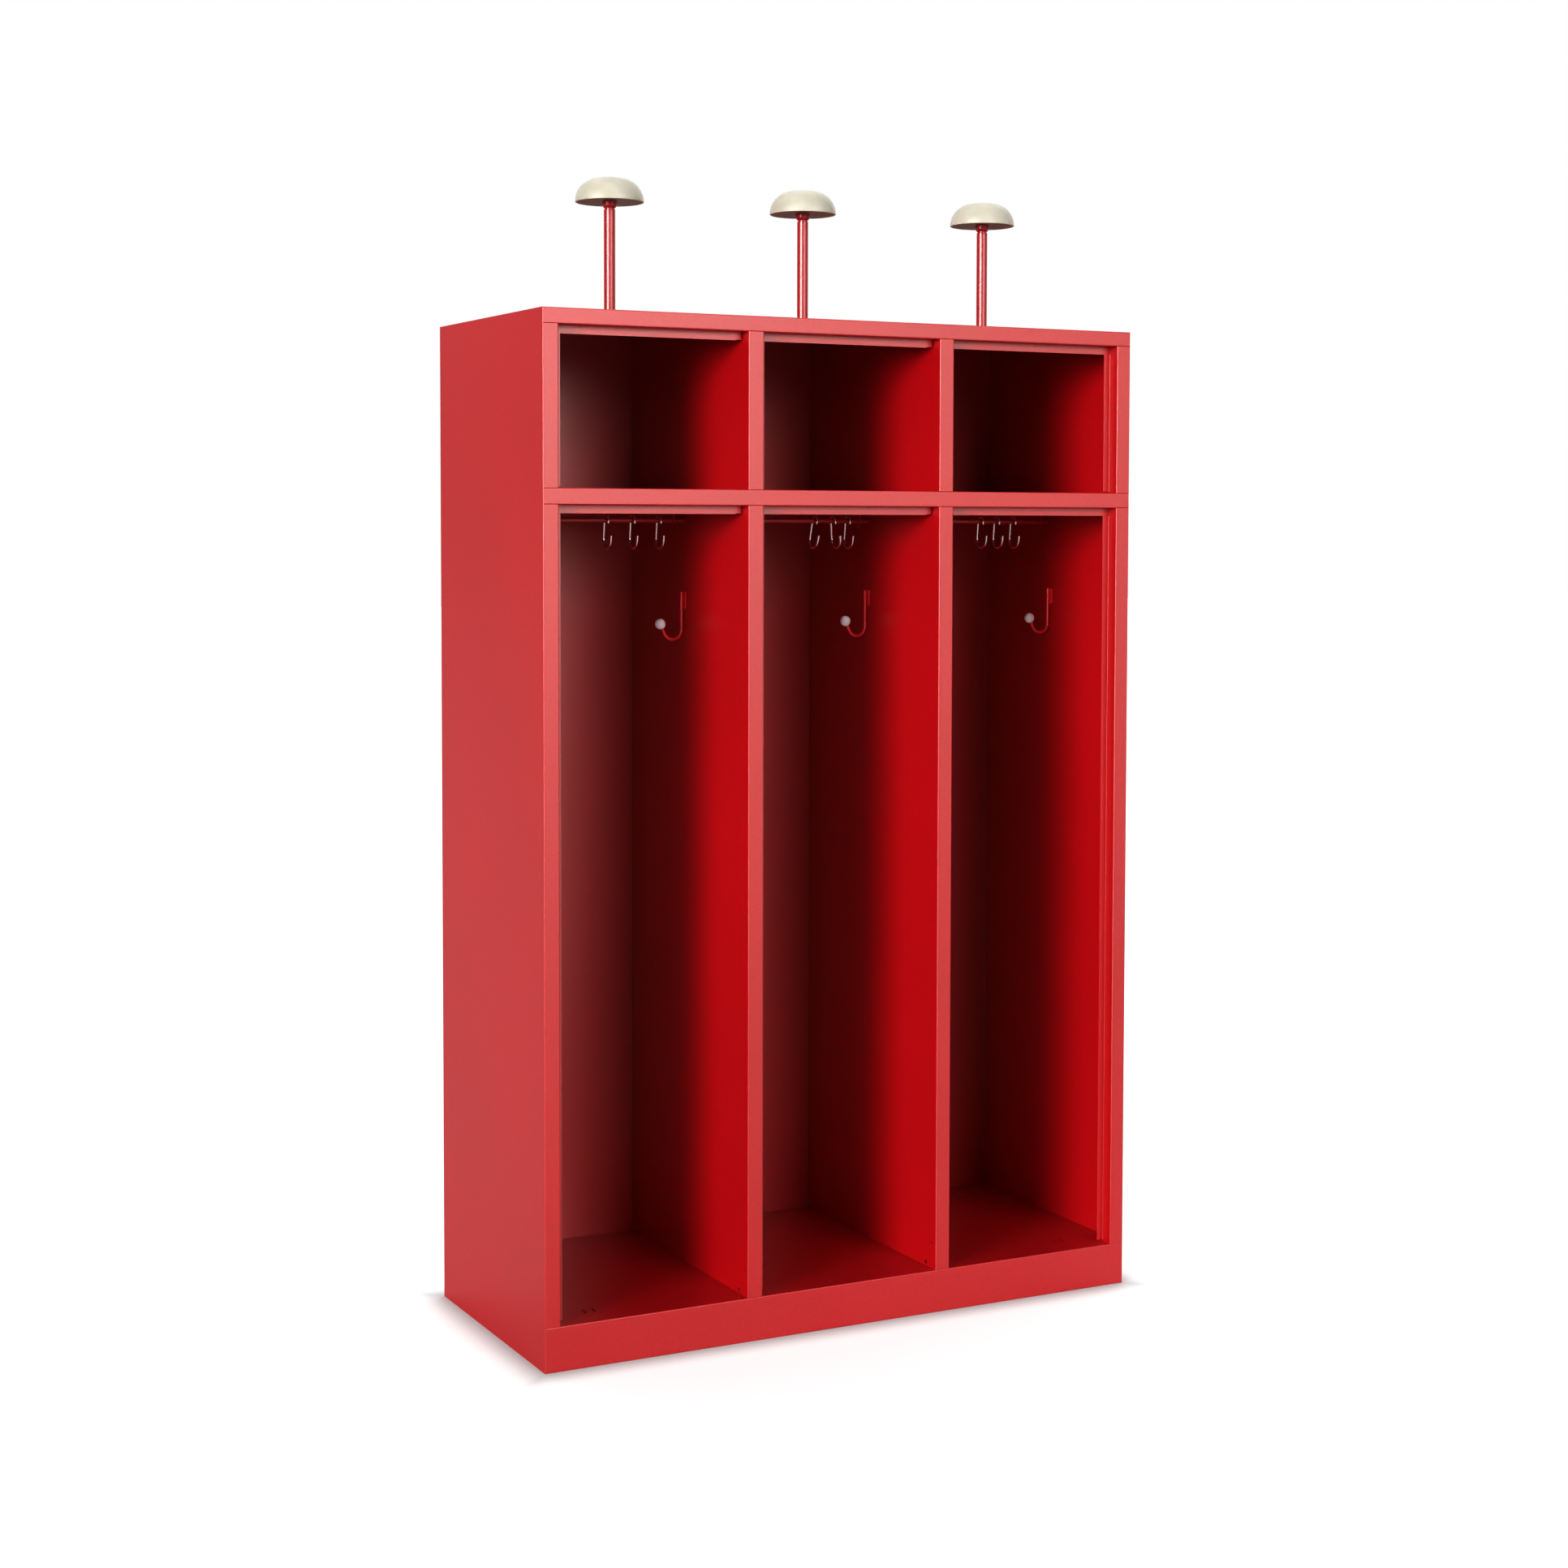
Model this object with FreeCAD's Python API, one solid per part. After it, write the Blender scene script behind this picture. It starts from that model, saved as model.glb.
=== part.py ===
"""Open three-bay cloakroom locker of folded sheet steel, with sliding wire hooks and helmet posts.

Millimetres, +Z up. The origin is the middle of the footprint on the floor: x runs to the right of
someone facing the open front, y runs from the front plane to the back, z is the height.
Each sub-part is written to parts/NODE.step in place, in this one frame.
"""

import FreeCAD
import Part
import math
import os

Vector = FreeCAD.Vector

# ---- Driving dimensions ----
WIDTH = 1180.0
DEPTH = 500.0
HEIGHT = 1800.0
BAYS = ("left", "middle", "right")

SHEET = 1.0  # steel sheet of every folded panel
BEND = 0.8  # inside radius of every fold

END_STILE = 28.5  # width of the outer front uprights
MID_STILE = 29.0  # width of the uprights between bays
PLINTH = 78.0  # height of the floor panel above the ground
SHELF_TOP = 1500.0  # height of the helmet shelf
SHELF_RAIL = 28.0  # height of the shelf's front rail
TOP_RAIL = 27.0  # height of the top panel's front rail
STOP_DEPTH = 25.0  # how far the stop strips stand behind the front plane
STOP_SIDE = 13.0  # width of an upright stop strip
STOP_DROP = 14.5  # height of a level stop strip
STOP_GAP = 2.5  # gap between a level stop strip and the upright at its right
REAR_FLANGE = 15.0  # flanges that the back panels are welded to
LIP = 20.0  # return at the foot of the plinth
FOOT_GAP = 3.0  # an upright strip ends this far above the floor panel

RAIL_RADIUS = 5.0
RAIL_LENGTH = 381.5
RAIL_DEPTH = 261.0  # behind the front plane
RAIL_HEIGHT = 1447.3
# middle of each bay's rail, from the locker's left side, and from there to its hangers' plates
RAIL_MIDDLES = {"left": 192.3, "middle": 575.9, "right": 977.3}
HANGER_REACHES = {"left": 163.0, "middle": 166.7, "right": 171.3}
HANGER_SHEET = 2.0
HANGER_WIDTH = 24.0
HANGER_FLANGE = 20.0

WIRE_RADIUS = 2.5  # wire of the sliding hooks
HOOK_CLEARANCE = 0.3  # between a sliding hook and its rail
HOOK_OVER = 9.1  # bend over the rail, to the middle of the wire
HOOK_NOSE = 4.0  # straight end in front of the rail
HOOK_SHANK = 32.0
HOOK_BEND = 16.8  # open bend that holds the garment, to the middle of the wire
HOOK_TIP = 8.3
HOOK_TILT = 7.0  # degrees: the hook hangs with its weight under the rail
# each hook's place from the locker's left side, and how many degrees it leans along the rail
HOOKS = {
    "left": ((227.3, 0.0), (279.0, 0.0), (331.4, 0.0)),
    "middle": ((652.0, 6.0), (690.0, -7.0), (722.0, 0.0)),
    "right": ((1015.2, 0.0), (1052.2, 0.0), (1089.7, 0.0)),
}

PEG_DEPTH = 266.0  # wall hook, behind the front plane
PEG_PLATE_TOP = 1316.5
PEG_PLATE = (2.0, 20.0, 30.0)  # thickness, width, height
PEG_RADIUS = 3.0
PEG_WELD = 0.3  # how deep the rod is let into its plate
PEG_BEND = 18.0
PEG_BEND_HEIGHT = 1248.0
PEG_TURN = 155.0  # degrees that the rod turns through
PEG_REACH = 19.8  # straight run from the bend to the ball's centre
BALL_RADIUS = 10.0

POST_DEPTH = 195.0  # helmet post, behind the front plane
POST_RADIUS = 10.0
POST_WALL = 1.5
POST_TOP = 1992.5
FOOT_RADIUS = 30.0
FOOT_SHEET = 3.0
SOCKET_RADIUS = 13.5
SOCKET_TOP = 1816.0
COLLAR_RADIUS = 13.0
COLLAR_TOP = 2008.0
COLLAR_WIDE = 8.5  # height of the collar's straight part
COLLAR_CONE = 4.5
COLLAR_NECK = 8.6  # radius of the groove under the cone
DOME_RADIUS = 60.5
DOME_RIM = 2006.0
DOME_TOP = 2048.2
DOME_SHOULDER = 40.5
DOME_WALL = 2.5
HUB_RADIUS = 9.0
HUB_RIBS = 12
HUB_RIB = 3.0

RIVET_SHANK = 1.6
RIVET_HEAD = 3.2
RIVET_HEIGHT = 1.2

# ---- Places that follow from them ----
LEFT = -WIDTH / 2
FRONT = -DEPTH / 2
BACK = DEPTH / 2
OPENING = (WIDTH - 2 * END_STILE - 2 * MID_STILE) / 3
DIVIDERS = [LEFT + END_STILE + OPENING + k * (OPENING + MID_STILE) for k in range(2)]
OPENINGS = [LEFT + END_STILE + k * (OPENING + MID_STILE) for k in range(3)]
# inside faces of each compartment, wall to wall
WALLS = [
    (LEFT + SHEET, DIVIDERS[0]),
    (DIVIDERS[0] + SHEET, DIVIDERS[1]),
    (DIVIDERS[1] + SHEET, -LEFT - SHEET),
]
SHELF_RAIL_FOOT = SHELF_TOP - SHELF_RAIL
TOP_RAIL_FOOT = HEIGHT - TOP_RAIL
INNER_BACK = DEPTH - 2 * SHEET  # level panels end here, in front of the rear flanges
RAIL_Y = FRONT + RAIL_DEPTH
PEG_Y = FRONT + PEG_DEPTH
POST_Y = FRONT + POST_DEPTH
POST_X = [x + OPENING / 2 for x in OPENINGS]


def block(low, high):
    """A box between two corners."""
    size = [h - l for l, h in zip(low, high)]
    return Part.makeBox(*size, Vector(*low))


def drum(radius, low, height, axis=(0, 0, 1)):
    """A round bar that starts at the point low."""
    return Part.makeCylinder(radius, height, Vector(*low), Vector(*axis))


def rounded_face(points, radii, place):
    """A flat face with straight sides and a round corner at each point that has a radius."""
    corners = []
    for i, p in enumerate(points):
        before = (points[i - 1] - p).normalize()
        after = (points[(i + 1) % len(points)] - p).normalize()
        if not radii[i]:
            corners.append((p, None, p))
            continue
        half = before.getAngle(after) / 2
        reach = radii[i] / math.tan(half)
        middle = (before + after).normalize() * (radii[i] / math.sin(half) - radii[i])
        corners.append((p + before * reach, p + middle, p + after * reach))
    edges = []
    for i, (start, middle, end) in enumerate(corners):
        if middle:
            edges.append(Part.Arc(place(start), place(middle), place(end)).toShape())
        following = corners[(i + 1) % len(corners)][0]
        edges.append(Part.LineSegment(place(end), place(following)).toShape())
    return Part.Face(Part.Wire(edges))


def folded_section(path, place, sheet=SHEET):
    """The section of a folded sheet whose one face follows path and whose thickness is on its left."""
    points = [Vector(u, v, 0) for u, v in path]
    runs = [(b - a).normalize() for a, b in zip(points, points[1:])]
    lefts = [Vector(-d.y, d.x, 0) * sheet for d in runs]
    other = [points[0] + lefts[0]]
    radii = [0.0]
    other_radii = [0.0]
    for i in range(1, len(points) - 1):
        turns_left = runs[i - 1].cross(runs[i]).z > 0
        other.append(points[i] + lefts[i - 1] + lefts[i])
        radii.append(BEND + sheet if turns_left else BEND)
        other_radii.append(BEND if turns_left else BEND + sheet)
    other.append(points[-1] + lefts[-1])
    radii.append(0.0)
    other_radii.append(0.0)
    return rounded_face(points + other[::-1], radii + other_radii[::-1], place)


def upright(stile, flange, low, high):
    """A panel standing from front to back: rear flange, wall, front stile, return and stop strip.

    Its wall is at u = 0 and the stile reaches to u = stile.
    """
    path = [
        (flange, DEPTH - SHEET),
        (0, DEPTH - SHEET),
        (0, 0),
        (stile, 0),
        (stile, STOP_DEPTH),
        (stile + STOP_SIDE, STOP_DEPTH),
    ]
    section = folded_section(path, lambda p: Vector(p.x, p.y + FRONT, low))
    return section.extrude(Vector(0, 0, high - low))


def strip_cut(stile, low, high):
    """Room for a level stop strip, taken out of an upright strip."""
    return block((stile, FRONT + STOP_DEPTH - 1, low), (stile + 20, FRONT + STOP_DEPTH + 3, high))


def end_panel():
    """Left side of the locker, full height, with its stile cut away where the rails pass."""
    panel = upright(END_STILE, REAR_FLANGE, 0, HEIGHT)
    front = FRONT - 1
    behind = FRONT + STOP_DEPTH + 3
    reach = END_STILE + STOP_SIDE + 5
    passing = (
        (-1, PLINTH),
        (SHELF_RAIL_FOOT, SHELF_TOP),
        (TOP_RAIL_FOOT, HEIGHT + 1),
    )
    for low, high in passing:
        panel = panel.cut(block((SHEET, front, low), (reach, behind, high)))
    stops = (
        (PLINTH, PLINTH + FOOT_GAP),
        (SHELF_RAIL_FOOT - STOP_DROP, SHELF_RAIL_FOOT),
        (SHELF_TOP, SHELF_TOP + FOOT_GAP),
        (TOP_RAIL_FOOT - STOP_DROP, TOP_RAIL_FOOT),
    )
    for low, high in stops:
        panel = panel.cut(strip_cut(END_STILE, low, high))
    panel.translate(Vector(LEFT, 0, 0))
    return panel


def divider(low, high, rail_foot, left):
    """Wall between two bays, notched at the top for the rail and its stop strip."""
    panel = upright(MID_STILE, 20.0, low, high)
    notch_back = FRONT + STOP_DEPTH + SHEET
    panel = panel.cut(block((-1, FRONT - 1, rail_foot), (MID_STILE + 20, notch_back, high + 1)))
    panel = panel.cut(strip_cut(MID_STILE, rail_foot - STOP_DROP, rail_foot))
    panel = panel.cut(strip_cut(MID_STILE, low, low + FOOT_GAP))
    panel.translate(Vector(left, 0, 0))
    return panel


def lower_divider(left):
    """Lower wall: it also has the two holes for a door's pivot and latch near its foot."""
    panel = divider(PLINTH, SHELF_TOP - SHEET, SHELF_RAIL_FOOT, left)
    for radius, depth, height in ((2.5, 15.0, 126.0), (4.0, 36.0, 85.0), (1.5, 493.0, 91.0)):
        panel = panel.cut(drum(radius, (left - 1, FRONT + depth, height), 3, (1, 0, 0)))
    return panel.cut(drum(RIVET_SHANK, (left - 1, FRONT + 492, 83.0), 3, (1, 0, 0)))


def upper_divider(left):
    """Upper wall, between the shelf and the top."""
    return divider(SHELF_TOP, HEIGHT - SHEET, TOP_RAIL_FOOT, left)


def level_panel(top, rail_height):
    """A level panel between the end panels: rear flange, sheet, front rail, return and stop strips."""
    foot = top - rail_height
    path = [
        (INNER_BACK, top - REAR_FLANGE),
        (INNER_BACK, top),
        (0, top),
        (0, foot),
        (STOP_DEPTH, foot),
        (STOP_DEPTH, foot - STOP_DROP),
    ]
    section = folded_section(path, lambda p: Vector(LEFT + SHEET, p.x + FRONT, p.y))
    panel = section.extrude(Vector(WIDTH - 2 * SHEET, 0, 0))
    # the stop strip is left only inside each opening
    behind = FRONT + STOP_DEPTH + 2
    low = foot - STOP_DROP - 1
    edges = [LEFT]
    for bay, start in enumerate(OPENINGS):
        gap = 0.0 if bay == 2 else STOP_GAP
        edges += [start, start + OPENING - gap]
    edges.append(-LEFT)
    for start, end in zip(edges[0::2], edges[1::2]):
        panel = panel.cut(block((start, FRONT + STOP_DEPTH - 2, low), (end, behind, foot)))
    # the long shallow nick at the free lower corner of the strips beside the dividers
    for start in OPENINGS[:2]:
        end = start + OPENING - STOP_GAP
        nick = block((end - 10.5, FRONT + STOP_DEPTH - 1, low), (end + 1, behind, low + 2.3))
        panel = panel.cut(nick)
    return panel


def clear_of_end_folds(panel):
    """Takes a level panel's rear corners off, where the end panels' inside bends are."""
    start = FRONT + INNER_BACK - BEND
    for low, high in ((LEFT, LEFT + SHEET + BEND), (-LEFT - SHEET - BEND, -LEFT)):
        panel = panel.cut(block((low, start, -1), (high, BACK, HEIGHT + 1)))
    return panel


def slots_for_dividers(panel, low, high):
    """Cuts the rear flange of a level panel where the dividers pass it."""
    for left in DIVIDERS:
        panel = panel.cut(
            block((left - 0.5, BACK - 8, low), (left + SHEET + 0.5, BACK + 1, high))
        )
    return panel


def top_panel():
    """Top of the locker, with a hole for each helmet post's screws."""
    panel = clear_of_end_folds(level_panel(HEIGHT, TOP_RAIL))
    panel = slots_for_dividers(panel, HEIGHT - REAR_FLANGE - 1, HEIGHT - SHEET)
    for x in POST_X:
        for hole in foot_screw_places(x):
            panel = panel.cut(drum(RIVET_SHANK, (*hole, HEIGHT - 3), 6))
    return panel


def shelf_panel():
    """Helmet shelf across all bays, with the rivet holes of the rail hangers."""
    panel = clear_of_end_folds(level_panel(SHELF_TOP, SHELF_RAIL))
    panel = slots_for_dividers(panel, SHELF_TOP - REAR_FLANGE - 1, SHELF_TOP - SHEET)
    for bay in BAYS:
        for side in (-1, 1):
            x = hanger_rivet_place(bay, side)
            panel = panel.cut(drum(RIVET_SHANK, (x, RAIL_Y, SHELF_TOP - 3), 6))
    return panel


def base_tray():
    """Floor panel folded down into the plinth at the front and at the back."""
    path = [
        (INNER_BACK - LIP, 0),
        (INNER_BACK, 0),
        (INNER_BACK, PLINTH),
        (0, PLINTH),
        (0, 0),
        (LIP, 0),
    ]
    section = folded_section(path, lambda p: Vector(LEFT + SHEET, p.x + FRONT, p.y))
    tray = clear_of_end_folds(section.extrude(Vector(WIDTH - 2 * SHEET, 0, 0)))
    # a door's lower pivot hole at the right of each opening
    for start in OPENINGS:
        tray = tray.cut(drum(3.2, (start + OPENING - 8.5, FRONT + 6.5, PLINTH - 3), 6))
    # a pair of short slots near each corner
    for x in (106.0, WIDTH - 106.0):
        for depth in (62.0, 417.0):
            for side in (-9.0, 9.0):
                middle = Vector(LEFT + x + side, FRONT + depth, 0)
                low = (middle.x - 1.25, middle.y - 10, PLINTH - 3)
                high = (middle.x + 1.25, middle.y + 10, PLINTH + 3)
                tray = tray.cut(block(low, high))
    return tray


def back_panel(bay):
    """One of three flat back panels; they meet on the dividers' rear flanges."""
    seams = [LEFT] + [left + 10 for left in DIVIDERS] + [-LEFT]
    return block((seams[bay], BACK - SHEET, 0), (seams[bay + 1], BACK, HEIGHT))


def hanging_rail(bay):
    """Round steel rail that the hooks slide on."""
    x = LEFT + RAIL_MIDDLES[bay] - RAIL_LENGTH / 2
    rail = drum(RAIL_RADIUS, (x, RAIL_Y, RAIL_HEIGHT), RAIL_LENGTH, (1, 0, 0))
    return rail.makeChamfer(0.6, rail.Edges[0:1] + rail.Edges[2:3])


def hanger_plate_place(bay, side):
    """Middle of a hanger's plate; side is -1 at the rail's left end and 1 at its right end."""
    return LEFT + RAIL_MIDDLES[bay] + side * HANGER_REACHES[bay]


def hanger_rivet_place(bay, side):
    """Rivet through the hanger's flange, on the side towards the rail's end."""
    return hanger_plate_place(bay, side) + side * HANGER_FLANGE * 0.6


def rail_hanger(bay, side):
    """Angle bracket under the shelf with a round-ended plate that holds the rail."""
    x = hanger_plate_place(bay, side)
    under = SHELF_TOP - SHEET
    half = HANGER_WIDTH / 2
    low_x = x - HANGER_SHEET / 2
    plate = block((low_x, RAIL_Y - half, RAIL_HEIGHT), (low_x + HANGER_SHEET, RAIL_Y + half, under))
    plate = plate.fuse(drum(half, (low_x, RAIL_Y, RAIL_HEIGHT), HANGER_SHEET, (1, 0, 0)))
    ends = sorted((x, x + side * HANGER_FLANGE))
    flange_low = (ends[0], RAIL_Y - half, under - HANGER_SHEET)
    hanger = plate.fuse(block(flange_low, (ends[1], RAIL_Y + half, under))).removeSplitter()
    hanger = hanger.cut(drum(RAIL_RADIUS, (low_x - 1, RAIL_Y, RAIL_HEIGHT), 4, (1, 0, 0)))
    return hanger.cut(drum(RIVET_SHANK, (hanger_rivet_place(bay, side), RAIL_Y, under - 5), 8))


def rivet(at, direction, grip):
    """A blind rivet: low round head, and a shank through grip of sheet."""
    head = Part.makeCone(RIVET_HEAD, RIVET_HEAD * 0.6, RIVET_HEIGHT, Vector(*at), Vector(*direction))
    back = Vector(*direction) * -grip
    shank = Part.makeCylinder(RIVET_SHANK, grip, Vector(*at) + back, Vector(*direction))
    return head.fuse(shank).removeSplitter()


def hanger_rivets():
    """One rivet up through each hanger's flange and the shelf."""
    z = SHELF_TOP - SHEET - HANGER_SHEET
    return Part.makeCompound(
        [
            rivet((hanger_rivet_place(bay, side), RAIL_Y, z), (0, 0, -1), HANGER_SHEET + SHEET)
            for bay in BAYS
            for side in (-1, 1)
        ]
    )


def divider_rivets():
    """A rivet low at the back of each lower divider."""
    return Part.makeCompound(
        [rivet((left, FRONT + 492, 83.0), (-1, 0, 0), SHEET) for left in DIVIDERS]
    )


def rod_along(edges, radius):
    """A round rod along a flat path of straight runs and tangent arcs."""
    path = Part.Wire(edges)
    start = path.OrderedVertexes[0].Point
    towards = path.OrderedEdges[0].tangentAt(path.OrderedEdges[0].FirstParameter)
    ring = Part.Wire(Part.makeCircle(radius, start, towards))
    return path.makePipeShell([ring], True, False)


def turned(centre, radius, degrees):
    """Point of a circle in the (u, v) plane."""
    angle = math.radians(degrees)
    return (centre[0] + radius * math.cos(angle), centre[1] + radius * math.sin(angle))


def run(a, b, place):
    """A straight edge between two (u, v) points."""
    return Part.LineSegment(place(a), place(b)).toShape()


def arc(centre, radius, start, end, place):
    """A round edge between two angles of a circle, in degrees."""
    points = [turned(centre, radius, d) for d in (start, (start + end) / 2, end)]
    return Part.Arc(*[place(p) for p in points]).toShape()


def slide_hook(x, lean):
    """Bent wire hook hung over the rail: nose in front, shank behind, open bend below.

    Its upper bend is wider than the rail, so the middle of that bend lies under the rail's middle.
    """
    middle = RAIL_HEIGHT + RAIL_RADIUS + HOOK_CLEARANCE + WIRE_RADIUS - HOOK_OVER
    low_middle = (HOOK_OVER - HOOK_BEND, -HOOK_SHANK)
    nose_end = (-HOOK_OVER, -HOOK_NOSE)
    tip_end = (HOOK_OVER - 2 * HOOK_BEND, HOOK_TIP - HOOK_SHANK)

    def place(p):
        return Vector(x, RAIL_Y + p[0], middle + p[1])

    edges = [
        run(nose_end, (-HOOK_OVER, 0), place),
        arc((0, 0), HOOK_OVER, 180, 0, place),
        run((HOOK_OVER, 0), (HOOK_OVER, -HOOK_SHANK), place),
        arc(low_middle, HOOK_BEND, 0, -180, place),
        run((tip_end[0], -HOOK_SHANK), tip_end, place),
    ]
    hook = rod_along(edges, WIRE_RADIUS)
    cut_ends = [e for e in hook.Edges if is_ring_round(e, (place(nose_end), place(tip_end)))]
    hook = hook.makeFillet(1.0, cut_ends)
    hook.rotate(Vector(x, RAIL_Y, middle), Vector(1, 0, 0), HOOK_TILT)
    hook.rotate(Vector(x, RAIL_Y, RAIL_HEIGHT + RAIL_RADIUS), Vector(0, 1, 0), lean)
    return hook


def is_ring_round(edge, points):
    """True for a closed edge whose centre is one of the points."""
    return edge.Closed and any((edge.CenterOfMass - p).Length < 0.01 for p in points)


def peg_path(wall):
    """The wall hook's rod: down beside the wall, round the bend, and up to the ball's centre."""
    rod_u = wall - PEG_PLATE[0] - PEG_RADIUS + PEG_WELD
    centre = (rod_u - PEG_BEND, PEG_BEND_HEIGHT)
    end = turned(centre, PEG_BEND, -PEG_TURN)
    lean = math.radians(180 - PEG_TURN)
    ball = (end[0] - PEG_REACH * math.sin(lean), end[1] + PEG_REACH * math.cos(lean))

    def place(p):
        return Vector(p[0], PEG_Y, p[1])

    edges = [
        run((rod_u, PEG_PLATE_TOP), (rod_u, PEG_BEND_HEIGHT), place),
        arc(centre, PEG_BEND, 0, -PEG_TURN, place),
        run(end, ball, place),
    ]
    return edges, place(ball)


def wall_hook_rod(bay):
    """Round rod of a wall hook."""
    edges, _ = peg_path(WALLS[bay][1])
    return rod_along(edges, PEG_RADIUS)


def wall_hook_plate(bay):
    """Small plate on the bay's right wall, with the rod welded on it."""
    wall = WALLS[bay][1]
    thick, wide, high = PEG_PLATE
    low = (wall - thick, PEG_Y - wide / 2, PEG_PLATE_TOP - high)
    plate = block(low, (wall, PEG_Y + wide / 2, PEG_PLATE_TOP))
    return plate.cut(wall_hook_rod(bay))


def wall_hook_ball(bay):
    """Plastic ball pushed on the rod's end."""
    _, centre = peg_path(WALLS[bay][1])
    return Part.makeSphere(BALL_RADIUS, centre).cut(wall_hook_rod(bay))


def foot_screw_places(x):
    """The three screws round a helmet post's foot."""
    return [turned((x, POST_Y), FOOT_RADIUS * 0.72, 90 + 120 * k) for k in range(3)]


def post_foot(x):
    """Flange with a socket that holds the foot of a helmet post."""
    foot = drum(FOOT_RADIUS, (x, POST_Y, HEIGHT), FOOT_SHEET)
    foot = foot.makeFillet(1.0, foot.Edges[0:1])
    socket = drum(SOCKET_RADIUS, (x, POST_Y, HEIGHT + 1), SOCKET_TOP - HEIGHT - 1)
    socket = socket.makeChamfer(1.0, socket.Edges[0:1])
    foot = foot.fuse(socket).removeSplitter()
    foot = foot.cut(drum(POST_RADIUS, (x, POST_Y, HEIGHT + FOOT_SHEET), 30))
    for hole in foot_screw_places(x):
        foot = foot.cut(drum(RIVET_SHANK, (*hole, HEIGHT - 1), 6))
    return foot


def foot_screws():
    """Pan-head screws of the three feet, as one group."""
    screws = []
    for x in POST_X:
        for hole in foot_screw_places(x):
            screws.append(rivet((*hole, HEIGHT + FOOT_SHEET), (0, 0, 1), FOOT_SHEET + SHEET))
    return Part.makeCompound(screws)


def post_tube(x):
    """Tube of a helmet post, with a rounded top edge."""
    low = HEIGHT + FOOT_SHEET
    tube = drum(POST_RADIUS, (x, POST_Y, low), POST_TOP - low)
    tube = tube.makeFillet(1.0, tube.Edges[0:1])
    return tube.cut(drum(POST_RADIUS - POST_WALL, (x, POST_Y, low - 1), HEIGHT))


def revolved(outline, x):
    """A solid turned round a post's axis from an outline of (radius, height) edges."""
    face = Part.Face(Part.Wire(outline))
    return face.revolve(Vector(x, POST_Y, 0), Vector(0, 0, 1), 360)


def on_post(x):
    """Places (radius, height) points in the plane through a post's axis."""
    return lambda p: Vector(x + p[0], POST_Y, p[1])


def post_collar(x):
    """Turned plug in the tube's top: spigot, groove, cone, wide head and the dome's stud."""
    head_foot = COLLAR_TOP - COLLAR_WIDE
    cone_foot = head_foot - COLLAR_CONE
    bore = POST_RADIUS - POST_WALL
    points = [
        (0, POST_TOP - 30),
        (bore, POST_TOP - 30),
        (bore, POST_TOP),
        (COLLAR_NECK, POST_TOP),
        (COLLAR_NECK, cone_foot),
        (POST_RADIUS, cone_foot),
        (COLLAR_RADIUS, head_foot),
        (COLLAR_RADIUS, COLLAR_TOP),
        (4.0, COLLAR_TOP),
        (4.0, COLLAR_TOP + 14),
        (0, COLLAR_TOP + 14),
    ]
    place = on_post(x)
    outline = [run(a, b, place) for a, b in zip(points, points[1:] + points[:1])]
    return revolved(outline, x)


def dome_curve(inset):
    """Crown arc and shoulder arc of the dome, moved inwards by inset.

    The shoulder is a circle round (DOME_RADIUS - DOME_SHOULDER, rim); the crown is a large circle
    that meets it without a corner and reaches DOME_TOP on the axis.
    """
    offset = DOME_RADIUS - DOME_SHOULDER
    rise = DOME_TOP - DOME_RIM
    crown = (offset**2 + rise**2 - DOME_SHOULDER**2) / (2 * (rise - DOME_SHOULDER))
    crown_centre = (0, DOME_TOP - crown)
    meet = math.degrees(math.atan2(DOME_RIM - crown_centre[1], offset))
    return crown_centre, crown - inset, (offset, DOME_RIM), DOME_SHOULDER - inset, meet


def helmet_dome(x):
    """Hollow moulded cap with a ribbed hub in the middle that sits on the collar."""
    place = on_post(x)
    crown_centre, crown, shoulder_centre, shoulder, meet = dome_curve(0)
    _, inner_crown, _, inner_shoulder, _ = dome_curve(DOME_WALL)
    top = (0, DOME_TOP)
    inner_top = (0, DOME_TOP - DOME_WALL)
    lip_middle = (DOME_RADIUS - DOME_WALL / 2, DOME_RIM)
    outline = [
        arc(crown_centre, crown, 90, meet, place),
        arc(shoulder_centre, shoulder, meet, 0, place),
        arc(lip_middle, DOME_WALL / 2, 0, -180, place),
        arc(shoulder_centre, inner_shoulder, 0, meet, place),
        arc(crown_centre, inner_crown, meet, 90, place),
        run(inner_top, top, place),
    ]
    dome = revolved(outline, x)
    hub_top = DOME_TOP - DOME_WALL / 2
    hub = drum(HUB_RADIUS, (x, POST_Y, COLLAR_TOP), hub_top - COLLAR_TOP)
    for k in range(HUB_RIBS):
        rib = block((HUB_RADIUS - 1, -0.9, COLLAR_TOP), (HUB_RADIUS + HUB_RIB, 0.9, hub_top))
        rib.rotate(Vector(0, 0, 0), Vector(0, 0, 1), k * 360 / HUB_RIBS)
        rib.translate(Vector(x, POST_Y, 0))
        hub = hub.fuse(rib)
    hub = hub.cut(drum(4.0, (x, POST_Y, COLLAR_TOP - 1), 15))
    return dome.fuse(hub).removeSplitter()


def mirrored(shape):
    """The same part for the other side of the locker."""
    return shape.mirror(Vector(0, 0, 0), Vector(1, 0, 0))


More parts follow.
